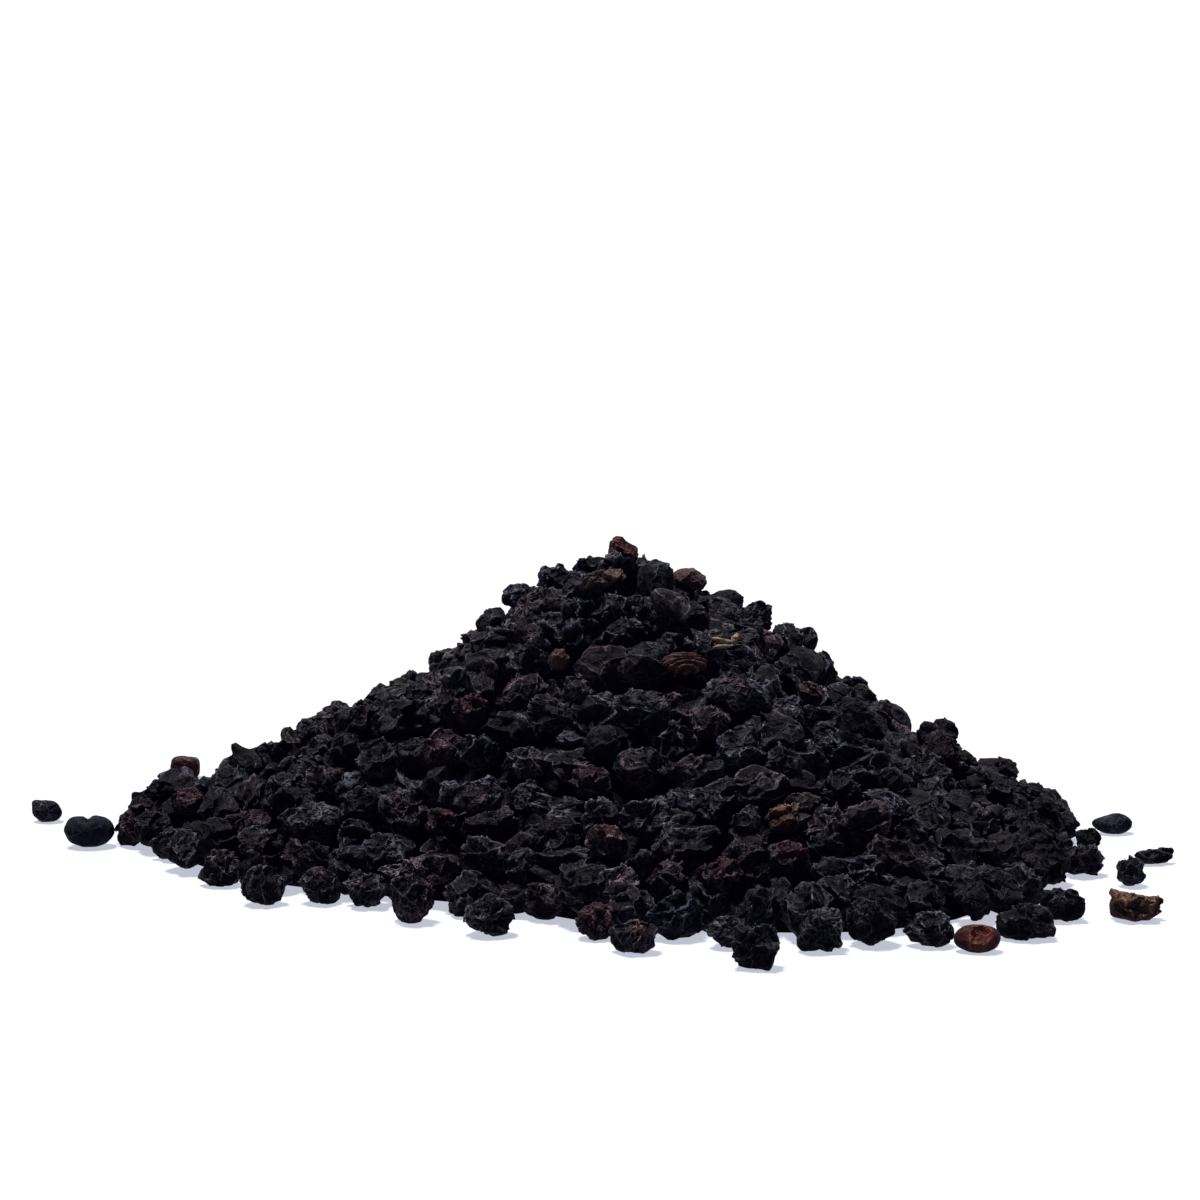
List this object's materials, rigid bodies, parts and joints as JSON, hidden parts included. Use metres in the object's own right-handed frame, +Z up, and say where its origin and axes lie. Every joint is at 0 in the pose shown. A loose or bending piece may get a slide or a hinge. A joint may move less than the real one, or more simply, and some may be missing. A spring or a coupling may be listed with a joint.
{
  "type": "heap of dried elderberries",
  "caption": "Free-standing heap of dried, wrinkled black elderberries with loose berries around its foot, resting on a flat underside.",
  "frame": {"origin": "centre of the heap's footprint, on the surface it rests on", "axes": "+Z up, -Y towards the viewer of the picture, +X to the viewer's right"},
  "size_m": [0.116, 0.0962, 0.0314],
  "materials": {
    "black_skin": "dull, wrinkled dried skin",
    "red_skin": "dull wine-red dried skin",
    "brown_skin": "dull brown dried skin",
    "stalk": "dry straw-coloured stalk"
  },
  "bodies": {
    "root": {"back_left_red_berry": "red_skin", "berry_heap": "black_skin", "far_left_berry": "black_skin", "far_right_berry": "black_skin", "front_block_berry": "black_skin", "front_brown_berry": "black_skin", "front_flat_berry": "black_skin", "front_large_berry": "black_skin", "front_left_pair_1": "black_skin", "front_left_pair_2": "black_skin", "front_left_round_berry": "black_skin", "front_left_tall_berry": "black_skin", "front_oval_half": "brown_skin", "front_red_berry": "red_skin", "front_round_berry": "black_skin", "front_square_berry": "black_skin", "front_stemmed_berry": "black_skin", "front_wedge_berry": "black_skin", "left_edge_berry": "black_skin", "left_front_berry": "black_skin", "left_low_berry": "black_skin", "left_smooth_berry": "black_skin", "left_tan_seed": "brown_skin", "peak_brown_skin": "brown_skin", "peak_red_berry": "red_skin", "ribbed_skin": "brown_skin", "right_brown_husk": "brown_skin", "right_corner_berry": "black_skin", "right_long_piece": "black_skin", "right_small_berry": "black_skin", "right_wedge_berry": "black_skin", "shoulder_brown_berry": "brown_skin", "shoulder_smooth_berry": "black_skin", "slope_brown_berry_1": "brown_skin", "slope_red_berry_1": "red_skin", "slope_red_berry_2": "red_skin", "slope_red_berry_3": "red_skin", "slope_red_berry_4": "red_skin", "slope_red_berry_5": "red_skin", "slope_red_berry_6": "red_skin", "slope_red_berry_7": "red_skin", "slope_red_berry_8": "red_skin", "slope_red_berry_9": "red_skin", "stalk_bits": "stalk"}
  },
  "joints": []
}
